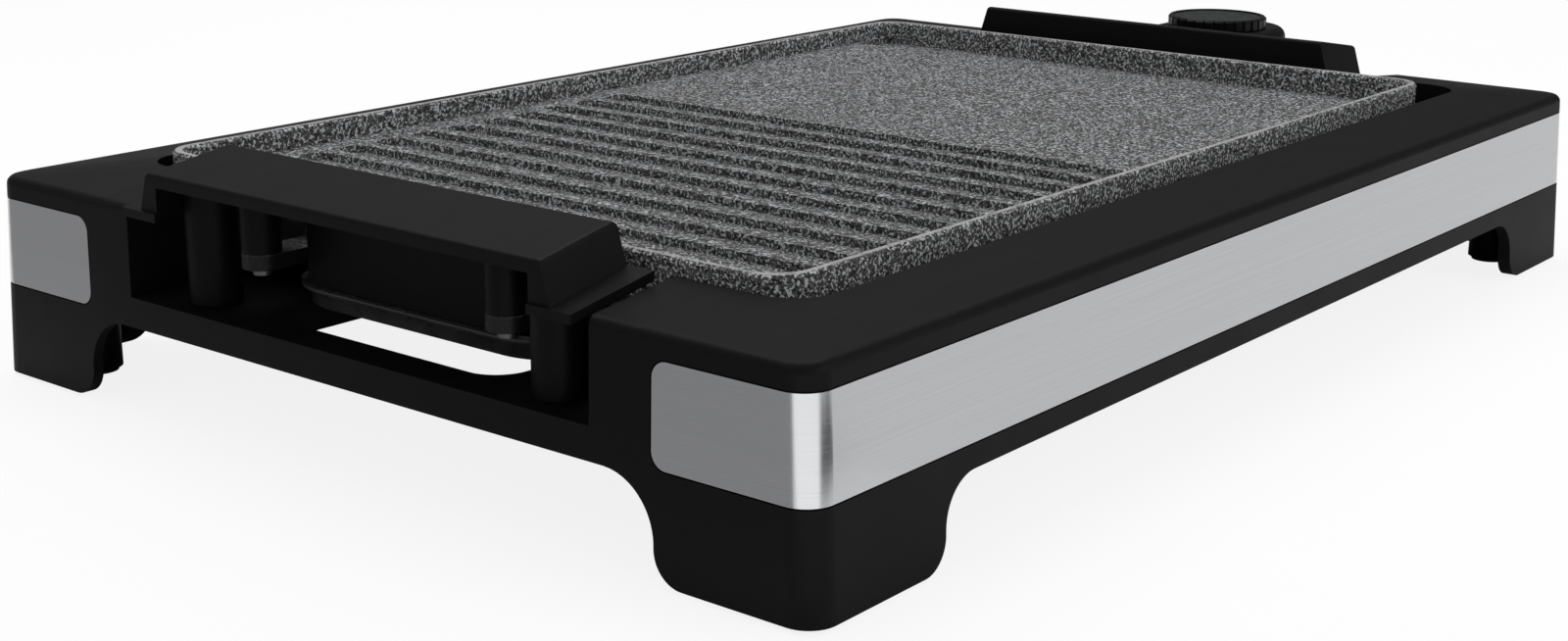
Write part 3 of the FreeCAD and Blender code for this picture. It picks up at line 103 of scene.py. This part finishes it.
# Lamps: name, width and height, watts, place, aim
LAMPS = (
    ("top_light", (1.8, 1.2), 16, (0.3, 0.5, 1.7), (0, 0, 0)),
    ("side_light", (1.6, 0.6), 9, (0.4, -1.7, 0.9), (0, 0, 0.03)),
    ("end_light", (0.8, 0.6), 2, (-1.6, 0.1, 0.9), (0, 0, 0.03)),
)


# Shader helpers

def own_node(tree, kind):
    """The node of a kind that a fresh tree comes with."""
    return next(node for node in tree.nodes if node.type == kind)


def new_material(name):
    """A material, its node tree and its principled shader."""
    made = bpy.data.materials.new(name)
    made.use_nodes = True
    tree = made.node_tree
    return made, tree, own_node(tree, "BSDF_PRINCIPLED")


def add(tree, kind, **values):
    """A node of a kind, whose unlinked inputs and own settings are given by name."""
    node = tree.nodes.new(kind)
    for name, value in values.items():
        if name in node.inputs:
            node.inputs[name].default_value = value
        else:
            setattr(node, name, value)
    return node


def join(tree, output, target):
    tree.links.new(output, target)


def place(tree, stretch=None):
    """Object coordinates in metres, stretched along each axis if asked."""
    where = add(tree, "ShaderNodeTexCoord")
    if stretch is None:
        return where.outputs["Object"]
    scaled = add(tree, "ShaderNodeVectorMath", operation="MULTIPLY")
    scaled.inputs[1].default_value = stretch
    join(tree, where.outputs["Object"], scaled.inputs[0])
    return scaled.outputs[0]


def height_of(tree):
    """The height above the table of the point that is shaded."""
    node = add(tree, "ShaderNodeSeparateXYZ")
    join(tree, place(tree), node.inputs[0])
    return node.outputs["Z"]


def noise(tree, scale, detail=2.0, rough=0.5, stretch=None):
    node = add(tree, "ShaderNodeTexNoise", Scale=scale, Detail=detail, Roughness=rough)
    join(tree, place(tree, stretch), node.inputs["Vector"])
    return node.outputs["Fac"]


def cells(tree, scale):
    """The distance to the nearest of many scattered points, in cell sizes."""
    node = add(tree, "ShaderNodeTexVoronoi", Scale=scale, Randomness=1.0, feature="F1")
    join(tree, place(tree), node.inputs["Vector"])
    return node.outputs["Distance"]


def spread(tree, source, source_range, result_range=(0.0, 1.0)):
    """Map a value smoothly from one range to another; either may run downwards."""
    node = add(tree, "ShaderNodeMapRange", interpolation_type="SMOOTHSTEP")
    ends = (*source_range, *result_range)
    for name, value in zip(("From Min", "From Max", "To Min", "To Max"), ends):
        node.inputs[name].default_value = value
    join(tree, source, node.inputs["Value"])
    return node.outputs["Result"]


def combine(tree, operation, first, second):
    """Multiply two values or take the larger; the second may be a plain number."""
    node = add(tree, "ShaderNodeMath", operation=operation)
    join(tree, first, node.inputs[0])
    if isinstance(second, float):
        node.inputs[1].default_value = second
    else:
        join(tree, second, node.inputs[1])
    return node.outputs[0]


def mix(tree, factor, first, second):
    """Mix two colours, each given as a colour or as an output, by an output."""
    node = add(tree, "ShaderNodeMix", data_type="RGBA")
    for side, name in ((first, "A"), (second, "B")):
        socket = next(item for item in node.inputs if item.name == name and item.type == "RGBA")
        if isinstance(side, tuple):
            socket.default_value = (*side, 1)
        else:
            join(tree, side, socket)
    join(tree, factor, node.inputs["Factor"])
    return next(item for item in node.outputs if item.type == "RGBA")


def bump(tree, source, depth, strength, under=None):
    """A bump of a real depth in metres, laid over another one if given."""
    node = add(tree, "ShaderNodeBump", Strength=strength, Distance=depth)
    join(tree, source, node.inputs["Height"])
    if under:
        join(tree, under, node.inputs["Normal"])
    return node.outputs["Normal"]


def grey(level):
    return (level, level, level)


def times(colour, factor):
    return tuple(channel * factor for channel in colour)


# Materials

def plastic(name, colour, rough, specular, grain=GRAIN_STRENGTH):
    """Moulded plastic or rubber with a fine grain, faint smudges and a few dust specks."""
    made, tree, shader = new_material(name)
    tone = spread(tree, noise(tree, SMUDGE, detail=4), (0.35, 0.7))
    body = mix(tree, tone, colour, times(colour, SMUDGE_TONE))
    dust = spread(tree, cells(tree, DUST), DUST_EDGE, (0.0, DUST_AMOUNT))
    join(tree, mix(tree, dust, body, times(colour, DUST_TONE)), shader.inputs["Base Color"])
    smear = noise(tree, SMUDGE * 3, detail=3, stretch=(1, 2.5, 1))
    join(tree, spread(tree, smear, (0.3, 0.75), (rough - 0.015, rough + 0.02)),
         shader.inputs["Roughness"])
    shader.inputs["Specular IOR Level"].default_value = specular
    coarse = bump(tree, noise(tree, COARSE_GRAIN, detail=2), depth=0.00004, strength=0.1)
    fine = noise(tree, FINE_GRAIN, detail=3, rough=0.6)
    join(tree, bump(tree, fine, depth=0.00005, strength=grain, under=coarse),
         shader.inputs["Normal"])
    return made


def brushed_steel(name, colour, rough):
    """Steel with long fine scratches and faint streaks of tone along them."""
    made, tree, shader = new_material(name)
    lines = noise(tree, 1.0, detail=4, rough=0.65,
                  stretch=(BRUSH_ALONG, BRUSH_ALONG, BRUSH_ACROSS))
    streaks = spread(tree, lines, (0.25, 0.75))
    tone = mix(tree, streaks, times(colour, BRUSH_TONE), colour)
    join(tree, tone, shader.inputs["Base Color"])
    shader.inputs["Metallic"].default_value = 1.0
    join(tree, spread(tree, lines, (0.2, 0.8), (rough - 0.03, rough + 0.04)),
         shader.inputs["Roughness"])
    join(tree, bump(tree, lines, depth=0.000008, strength=0.35), shader.inputs["Normal"])
    return made


def stone_coating():
    """Non-stick coating flecked dark and light, with a painted highlight in patches on the rim's
    flat top.

    Below the top of the lugs the cast plate is plain and dark.
    """
    made, tree, shader = new_material("stone_coating")
    grain = noise(tree, STONE_GRAIN, detail=2, rough=0.6)
    base = mix(tree, spread(tree, grain, STONE_GRAIN_EDGE), grey(STONE_DARK), grey(STONE_MIDDLE))
    spots = cells(tree, STONE_SPOT)
    base = mix(tree, spread(tree, spots, STONE_SPOT_EDGE, (0.0, 0.7)), base,
               grey(STONE_SPOT_TONE))
    flakes = noise(tree, STONE_FLAKE, detail=2, rough=0.55)
    base = mix(tree, spread(tree, flakes, STONE_FLAKE_EDGE, (0.0, 0.95)), base,
               STONE_FLAKE_COLOUR)
    height = height_of(tree)
    rim_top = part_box("griddle_plate")[1].z
    # Painted highlight: the rim's flat top turns paler in patches
    plate_rim_highlight = spread(tree, height, (rim_top - 0.0002, rim_top - 0.00005))
    rim_highlight_patches = spread(tree, noise(tree, 220, detail=3), (0.3, 0.6), (0.35, 0.8))
    base = mix(tree, combine(tree, "MULTIPLY", plate_rim_highlight, rim_highlight_patches), base, grey(RIM_HIGHLIGHT_TONE))
    under = spread(tree, height, (LUG_TOP - 0.0005, LUG_TOP + 0.001), (1.0, 0.0))
    join(tree, mix(tree, under, base, grey(BELOW_LUG_TOP_TONE)), shader.inputs["Base Color"])
    join(tree, spread(tree, grain, NOISE_RANGE, (0.62, 0.42)), shader.inputs["Roughness"])
    shader.inputs["Specular IOR Level"].default_value = 0.35
    pits = bump(tree, spots, depth=0.00012, strength=0.35)
    join(tree, bump(tree, grain, depth=0.00012, strength=0.5, under=pits),
         shader.inputs["Normal"])
    return made


def enamel():
    """Black enamelled tray: glossy, faintly rippled, with a painted highlight along its rim."""
    made, tree, shader = new_material("tray_enamel")
    cloud = spread(tree, noise(tree, 40, detail=4), NOISE_RANGE)
    body = mix(tree, cloud, grey(0.012), grey(0.022))
    height = height_of(tree)
    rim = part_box("drip_tray")[1].z
    # Painted highlight: the tray turns paler towards the top of its rim
    tray_rim_highlight = spread(tree, height, (rim - 0.0009, rim - 0.0002), (0.0, 0.16))
    join(tree, mix(tree, tray_rim_highlight, body, grey(0.3)), shader.inputs["Base Color"])
    join(tree, spread(tree, noise(tree, 90, detail=3), NOISE_RANGE, (0.22, 0.38)),
         shader.inputs["Roughness"])
    shader.inputs["Specular IOR Level"].default_value = 0.4
    ripple = noise(tree, 60, detail=2)
    join(tree, bump(tree, ripple, depth=0.0002, strength=0.2), shader.inputs["Normal"])
    return made


def sheet_metal(name, colour, rough, metallic=1.0, tarnish=(0.2, 0.17, 0.14), amount=0.25):
    """Plain rolled metal with cloudy tarnish and a fine rolling grain."""
    made, tree, shader = new_material(name)
    cloud = spread(tree, noise(tree, 45, detail=4), (0.42, 0.72), (0.0, amount))
    join(tree, mix(tree, cloud, colour, tarnish), shader.inputs["Base Color"])
    shader.inputs["Metallic"].default_value = metallic
    wear = noise(tree, 150, detail=3)
    join(tree, spread(tree, wear, NOISE_RANGE, (rough - 0.07, rough + 0.1)),
         shader.inputs["Roughness"])
    rolling = noise(tree, 1.0, detail=3, stretch=(60, 900, 900))
    join(tree, bump(tree, rolling, depth=0.00003, strength=0.3), shader.inputs["Normal"])
    return made


def ceramic(name, colour):
    """Unglazed ceramic: chalky, finely pitted, a little stained."""
    made, tree, shader = new_material(name)
    stain = spread(tree, noise(tree, 120, detail=4), (0.45, 0.75), (0.0, 0.35))
    join(tree, mix(tree, stain, colour, times(colour, 0.7)), shader.inputs["Base Color"])
    join(tree, spread(tree, noise(tree, 300, detail=2), NOISE_RANGE, (0.6, 0.8)),
         shader.inputs["Roughness"])
    pits = noise(tree, 1800, detail=3)
    join(tree, bump(tree, pits, depth=0.00005, strength=0.5), shader.inputs["Normal"])
    return made


def gloss_disc():
    """The dial's dark disc: smooth, slightly green and faintly smeared."""
    made, tree, shader = new_material("dial_disc")
    smear = spread(tree, noise(tree, 80, detail=3), (0.35, 0.7))
    join(tree, mix(tree, smear, (0.006, 0.011, 0.0095), (0.009, 0.015, 0.013)),
         shader.inputs["Base Color"])
    join(tree, spread(tree, noise(tree, 200, detail=2), NOISE_RANGE, (0.16, 0.28)),
         shader.inputs["Roughness"])
    shader.inputs["Specular IOR Level"].default_value = 0.12
    ripple = noise(tree, 700, detail=2)
    join(tree, bump(tree, ripple, depth=0.00001, strength=0.2), shader.inputs["Normal"])
    return made


BLACK = grey(0.0035)
BRASS = (0.68, 0.48, 0.2)

# Slot: colour, roughness, specular level and, where it differs, the grain's strength
PLASTICS = {
    "housing_plastic": (BLACK, 0.5, 0.1),
    "handle_plastic": (BLACK, 0.46, 0.1),
    "thermostat_plastic": (BLACK, 0.44, 0.1),
    "knob_plastic": (BLACK, 0.34, 0.14, KNOB_GRAIN_STRENGTH),
    "gland_rubber": (grey(0.012), 0.7, 0.15),
    "pad_rubber": (grey(0.014), 0.75, 0.12),
    "block_plastic": ((0.16, 0.12, 0.075), 0.55, 0.3),
}

# Slot: colour, roughness and, for the scorched element, metallic, tarnish and its amount
METALS = {
    "shield_steel": (grey(0.42), 0.38),
    "screw_steel": (grey(0.2), 0.42),
    "clamp_steel": (grey(0.45), 0.36),
    "shroud_steel": (grey(0.5), 0.34),
    "element_steel": ((0.16, 0.145, 0.13), 0.5, 0.9, (0.09, 0.06, 0.04), 0.6),
    "pin_metal": (grey(0.72), 0.2),
    "probe_steel": (grey(0.66), 0.22),
    "contact_brass": (BRASS, 0.3),
    "spring_brass": ((0.7, 0.45, 0.2), 0.34),
    "shaft_metal": (BRASS, 0.28),
}

MADE = {slot: plastic(slot, *look) for slot, look in PLASTICS.items()}
MADE["band_steel"] = brushed_steel("band_steel", (0.585, 0.59, 0.605), 0.2)
MADE["stone_coating"] = stone_coating()
MADE["tray_metal"] = enamel()
MADE["dial_face_plastic"] = gloss_disc()
MADE.update({slot: sheet_metal(slot, *look) for slot, look in METALS.items()})
MADE["insulator_ceramic"] = ceramic("insulator_ceramic", (0.7, 0.67, 0.6))

SLOTS = {part["node"]: part["material_slot"] for part in frame["record"]["subparts"]}
for node, thing in NODES.items():
    thing.data.materials.clear()
    thing.data.materials.append(MADE[SLOTS[node]])


# Stage

def plane(name, size, where, turn=LYING):
    angles = [math.radians(angle) for angle in turn]
    bpy.ops.mesh.primitive_plane_add(size=size, location=where, rotation=angles)
    made = bpy.context.object
    made.name = name
    return made


def white_to_camera(tree, shade, output):
    """Plain white for rays from the camera, in gloss and through glass; the shade elsewhere."""
    rays = add(tree, "ShaderNodeLightPath")
    seen = combine(tree, "MAXIMUM", rays.outputs["Is Camera Ray"], rays.outputs["Is Glossy Ray"])
    seen = combine(tree, "MAXIMUM", seen, rays.outputs["Is Transmission Ray"])
    join(tree, mix(tree, seen, grey(shade), grey(1.0)), output)


def whiter_to_camera(tree, shader, share):
    """Part of the surface glows plain white for the camera alone, so its shadow stays."""
    rays = add(tree, "ShaderNodeLightPath")
    part = combine(tree, "MULTIPLY", rays.outputs["Is Camera Ray"], share)
    glow = add(tree, "ShaderNodeEmission", Strength=1.0)
    both = add(tree, "ShaderNodeMixShader")
    join(tree, part, both.inputs[0])
    join(tree, shader.outputs[0], both.inputs[1])
    join(tree, glow.outputs[0], both.inputs[2])
    join(tree, both.outputs[0], own_node(tree, "OUTPUT_MATERIAL").inputs["Surface"])


def card(name, size, where, turn, level):
    """A grey studio card that only reflections see, as a photographer sets round gloss."""
    made = plane(name, size, where, turn)
    paint = bpy.data.materials.new(name + "_paint")
    paint.use_nodes = True
    tree = paint.node_tree
    glow = add(tree, "ShaderNodeEmission", Strength=1.0)
    glow.inputs["Color"].default_value = (*grey(level), 1)
    join(tree, glow.outputs[0], own_node(tree, "OUTPUT_MATERIAL").inputs["Surface"])
    made.data.materials.append(paint)
    made.visible_camera = False
    made.visible_diffuse = False
    made.visible_shadow = False
    made.visible_transmission = False


def build_stage():
    floor = plane("floor", FLOOR_SIZE, (0, 0, 0))
    made, tree, shader = new_material("floor_paint")
    cloud = spread(tree, noise(tree, 3, detail=3), NOISE_RANGE)
    join(tree, mix(tree, cloud, grey(0.9), grey(0.93)), shader.inputs["Base Color"])
    shader.inputs["Roughness"].default_value = 0.9
    shader.inputs["Specular IOR Level"].default_value = 0.1
    whiter_to_camera(tree, shader, FLOOR_GLOW)
    floor.data.materials.append(made)
    for values in CARDS:
        card(*values)

    world = bpy.data.worlds.new("studio")
    bpy.context.scene.world = world
    world.use_nodes = True
    back = own_node(world.node_tree, "BACKGROUND")
    back.inputs["Strength"].default_value = 1.0
    white_to_camera(world.node_tree, WORLD_SHADE, back.inputs["Color"])


def softbox(name, size, power, where, aim):
    light = bpy.data.lights.new(name, "AREA")
    light.shape = "RECTANGLE"
    light.size, light.size_y = size
    light.energy = power
    made = bpy.data.objects.new(name, light)
    bpy.context.scene.collection.objects.link(made)
    made.location = where
    made.rotation_euler = (Vector(aim) - Vector(where)).to_track_quat("-Z", "Y").to_euler()


def build_camera():
    turn, lift = math.radians(CAMERA_AZIMUTH), math.radians(CAMERA_ELEVATION)
    roll = math.radians(CAMERA_ROLL)
    back = Vector((math.sin(turn) * math.cos(lift), -math.cos(turn) * math.cos(lift),
                   math.sin(lift)))
    right = (-back).cross(Vector((0, 0, 1))).normalized()
    up = right.cross(-back)
    rolled_right = right * math.cos(roll) + up * math.sin(roll)
    rolled_up = up * math.cos(roll) - right * math.sin(roll)
    data = bpy.data.cameras.new("camera")
    data.sensor_fit = "HORIZONTAL"
    data.sensor_width = SENSOR_WIDTH
    data.lens = CAMERA_LENS
    data.clip_start = CAMERA_NEAR
    made = bpy.data.objects.new("camera", data)
    bpy.context.scene.collection.objects.link(made)
    axes = Matrix((rolled_right, rolled_up, back)).transposed().to_4x4()
    made.matrix_world = Matrix.Translation(CAMERA_PLACE) @ axes
    bpy.context.scene.camera = made


build_stage()
for lamp in LAMPS:
    softbox(*lamp)
build_camera()
bpy.context.scene.view_settings.view_transform = "Standard"
